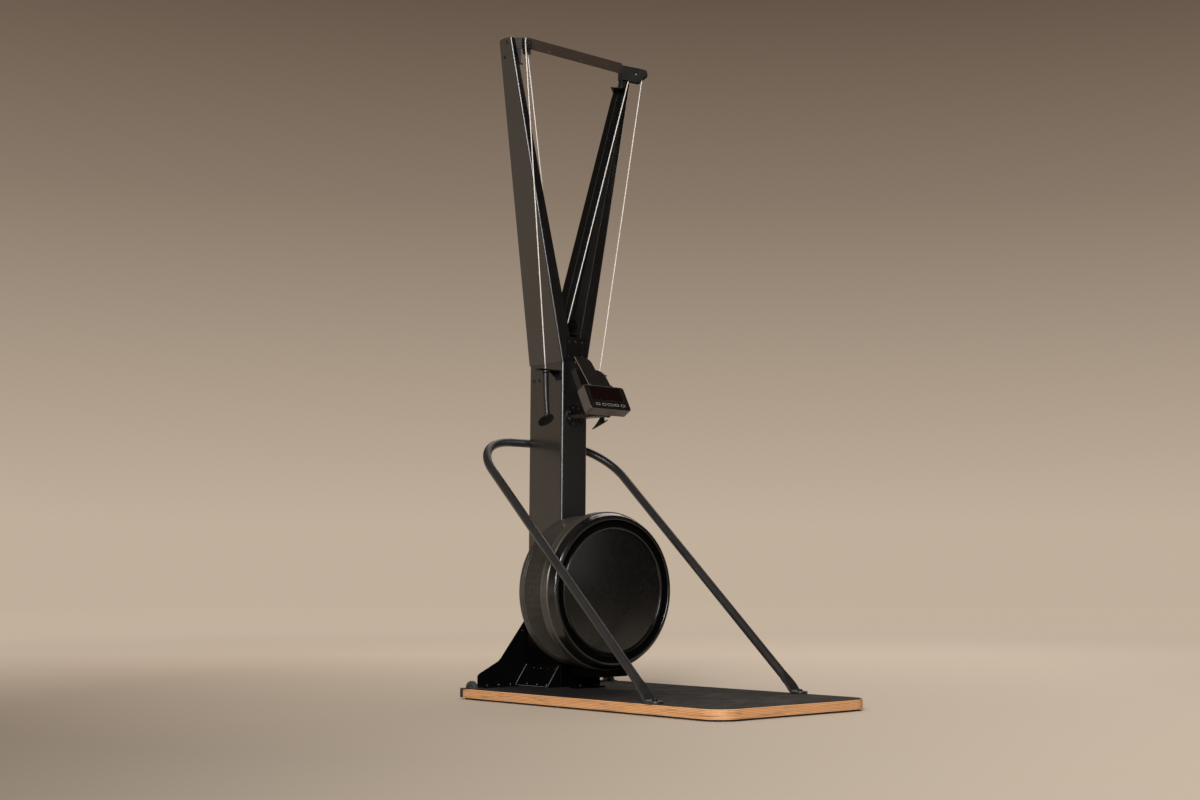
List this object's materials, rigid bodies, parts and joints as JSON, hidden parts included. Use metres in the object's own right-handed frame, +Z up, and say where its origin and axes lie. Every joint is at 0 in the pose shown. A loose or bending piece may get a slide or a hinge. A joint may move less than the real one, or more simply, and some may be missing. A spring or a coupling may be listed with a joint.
{
  "type": "ski trainer machine",
  "caption": "Standing ski trainer: a mast with a V of two arms on a plywood platform, a fan drum at its foot, pull handles on ropes, a tilting console and a bent tube brace.",
  "frame": {"origin": "On the floor, midway across the front face of the mast", "axes": "+Z up, +X to the right as seen by the user, who stands on the -Y side and faces the drum"},
  "size_m": [0.6344, 1.2267, 2.15],
  "materials": {
    "plywood": "Raw birch plywood edge under a dark face",
    "grip_sheet": "Fine grained dark anti-slip sheet",
    "black_rubber": "Matt black rubber",
    "mast_paint": "Satin black powder coat",
    "black_paint": "Satin black powder coat",
    "brace_paint": "Satin dark grey powder coat",
    "drum_plastic": "Fine textured moulding",
    "drum_gloss": "Smooth glossy moulding",
    "handle_plastic": "Soft satin moulding",
    "pulley_plastic": "Hard satin moulding",
    "console_plastic": "Fine textured moulding",
    "screen_cover": "Clear hard window over a dark display",
    "key_rubber": "Matt grey keys",
    "rope_braid": "Thin off-white braided cord",
    "rotor_metal": "Plain sheet metal"
  },
  "bodies": {
    "base": {"platform_board": "plywood", "grip_mat": "grip_sheet", "underlay": "black_rubber", "mast_column": "mast_paint", "arm_cover_right": "mast_paint", "arm_cover_left": "mast_paint", "crossbar": "mast_paint", "arm_spine_right": "black_paint", "arm_spine_left": "black_paint", "arm_cap_right": "black_paint", "arm_cap_left": "black_paint", "yoke_plate": "black_paint", "guide_bracket": "black_paint", "pulley_bracket_right": "black_paint", "pulley_bracket_left": "black_paint", "dock_right": "black_paint", "dock_left": "black_paint", "rear_gusset": "black_paint", "mast_bracket_right": "black_paint", "mast_bracket_left": "black_paint", "wheel_bracket_right": "black_paint", "wheel_bracket_left": "black_paint", "drum_cradle": "black_paint", "drum_hub": "black_paint", "brace_clamp": "black_paint", "console_arm": "black_paint", "brace_tube": "brace_paint", "drum_housing": "drum_plastic", "vent_band": "drum_plastic", "front_ring": "drum_plastic", "front_disc": "drum_plastic", "front_cover": "drum_gloss", "rope_inner_right": "rope_braid", "rope_inner_left": "rope_braid"},
    "wheel_right": {"wheel_right": "black_rubber"},
    "wheel_left": {"wheel_left": "black_rubber"},
    "fan": {"fan_rotor": "rotor_metal"},
    "spool_right": {"spool_right": "pulley_plastic"},
    "spool_left": {"spool_left": "pulley_plastic"},
    "top_pulley_right": {"top_pulley_right": "pulley_plastic"},
    "top_pulley_left": {"top_pulley_left": "pulley_plastic"},
    "guide_pulley_right": {"guide_pulley_right": "pulley_plastic"},
    "guide_pulley_left": {"guide_pulley_left": "pulley_plastic"},
    "pull_right": {"rope_outer_right": "rope_braid"},
    "pull_left": {"rope_outer_left": "rope_braid"},
    "handle_right": {"handle_grip_right": "handle_plastic", "handle_end_right": "handle_plastic"},
    "handle_left": {"handle_grip_left": "handle_plastic", "handle_end_left": "handle_plastic"},
    "console": {"console_case": "console_plastic", "console_screen": "screen_cover", "back_plate": "console_plastic", "phone_rest": "console_plastic"},
    "phone_clamp": {"phone_clamp": "console_plastic"},
    "top_button": {"top_button": "key_rubber"},
    "key_far_left": {"key_far_left": "key_rubber"},
    "key_left": {"key_left": "key_rubber"},
    "key_centre": {"key_centre": "key_rubber"},
    "key_right": {"key_right": "key_rubber"},
    "key_far_right": {"key_far_right": "key_rubber"}
  },
  "joints": [
    {"name": "wheel_roll_right", "type": "hinge", "parent": "base", "child": "wheel_right", "pos_m": [0.284, 0.1597, 0.0325], "axis": [1, 0, 0], "continuous": true},
    {"name": "wheel_roll_left", "type": "hinge", "parent": "base", "child": "wheel_left", "pos_m": [-0.284, 0.1597, 0.0325], "axis": [1, 0, 0], "continuous": true},
    {"name": "fan_spin", "type": "hinge", "parent": "base", "child": "fan", "pos_m": [0, -0.1, 0.3454], "axis": [0, 1, 0], "continuous": true},
    {"name": "handle_swing_right", "type": "hinge", "parent": "base", "child": "pull_right", "pos_m": [0.25, -0.04375, 2.108], "axis": [-1, 0, 0], "range_deg": [0, 20]},
    {"name": "handle_pull_right", "type": "slide", "parent": "pull_right", "child": "handle_right", "axis": [0, 0, -1], "range_m": [0, 0.5], "stiffness_N_per_m": 20, "springref_m": -0.5, "deforming": ["rope_outer_right"]},
    {"name": "top_pulley_turn_right", "type": "hinge", "parent": "base", "child": "top_pulley_right", "pos_m": [0.235, -0.028, 2.108], "axis": [0.7242, 0.6896, 0], "range_deg": [0, 1320]},
    {"name": "guide_pulley_turn_right", "type": "hinge", "parent": "base", "child": "guide_pulley_right", "pos_m": [0.0393, 0.0702, 1.2299], "axis": [0, 1, 0], "range_deg": [0, 1635]},
    {"name": "spool_turn_right", "type": "hinge", "parent": "base", "child": "spool_right", "pos_m": [0, 0.095, 0.3454], "axis": [0, 1, 0], "range_deg": [-1320, 0]},
    {"name": "handle_swing_left", "type": "hinge", "parent": "base", "child": "pull_left", "pos_m": [-0.25, -0.04375, 2.108], "axis": [-1, 0, 0], "range_deg": [0, 20]},
    {"name": "handle_pull_left", "type": "slide", "parent": "pull_left", "child": "handle_left", "axis": [0, 0, -1], "range_m": [0, 0.5], "stiffness_N_per_m": 20, "springref_m": -0.5, "deforming": ["rope_outer_left"]},
    {"name": "top_pulley_turn_left", "type": "hinge", "parent": "base", "child": "top_pulley_left", "pos_m": [-0.235, -0.028, 2.108], "axis": [0.7242, -0.6896, 0], "range_deg": [0, 1320]},
    {"name": "guide_pulley_turn_left", "type": "hinge", "parent": "base", "child": "guide_pulley_left", "pos_m": [-0.0393, 0.0702, 1.2299], "axis": [0, 1, 0], "range_deg": [-1635, 0]},
    {"name": "spool_turn_left", "type": "hinge", "parent": "base", "child": "spool_left", "pos_m": [0, 0.045, 0.3454], "axis": [0, 1, 0], "range_deg": [0, 1320]},
    {"name": "console_tilt", "type": "hinge", "parent": "base", "child": "console", "pos_m": [0, -0.14133, 0.91174], "axis": [1, 0, 0], "range_deg": [-12, 20]},
    {"name": "phone_clamp_slide", "type": "slide", "parent": "console", "child": "phone_clamp", "axis": [1, 0, 0], "range_m": [0, 0.025], "stiffness_N_per_m": 100, "springref_m": -0.02},
    {"name": "key_far_left_press", "type": "slide", "parent": "console", "child": "key_far_left", "axis": [0, 0.8746, -0.4848], "range_m": [0, 0.0012], "stiffness_N_per_m": 300, "springref_m": -0.0008},
    {"name": "key_left_press", "type": "slide", "parent": "console", "child": "key_left", "axis": [0, 0.8746, -0.4848], "range_m": [0, 0.0012], "stiffness_N_per_m": 300, "springref_m": -0.0008},
    {"name": "key_centre_press", "type": "slide", "parent": "console", "child": "key_centre", "axis": [0, 0.8746, -0.4848], "range_m": [0, 0.0012], "stiffness_N_per_m": 300, "springref_m": -0.0008},
    {"name": "key_right_press", "type": "slide", "parent": "console", "child": "key_right", "axis": [0, 0.8746, -0.4848], "range_m": [0, 0.0012], "stiffness_N_per_m": 300, "springref_m": -0.0008},
    {"name": "key_far_right_press", "type": "slide", "parent": "console", "child": "key_far_right", "axis": [0, 0.8746, -0.4848], "range_m": [0, 0.0012], "stiffness_N_per_m": 300, "springref_m": -0.0008},
    {"name": "top_button_press", "type": "slide", "parent": "console", "child": "top_button", "axis": [0, -0.4848, -0.8746], "range_m": [0, 0.002], "stiffness_N_per_m": 200, "springref_m": -0.001}
  ],
  "couplings": [
    {"joint": "top_pulley_turn_right", "follows": "handle_pull_right", "rad_per_m": 45.977},
    {"joint": "guide_pulley_turn_right", "follows": "handle_pull_right", "rad_per_m": 56.98},
    {"joint": "spool_turn_right", "follows": "handle_pull_right", "rad_per_m": -45.977},
    {"joint": "top_pulley_turn_left", "follows": "handle_pull_left", "rad_per_m": 45.977},
    {"joint": "guide_pulley_turn_left", "follows": "handle_pull_left", "rad_per_m": -56.98},
    {"joint": "spool_turn_left", "follows": "handle_pull_left", "rad_per_m": 45.977}
  ]
}
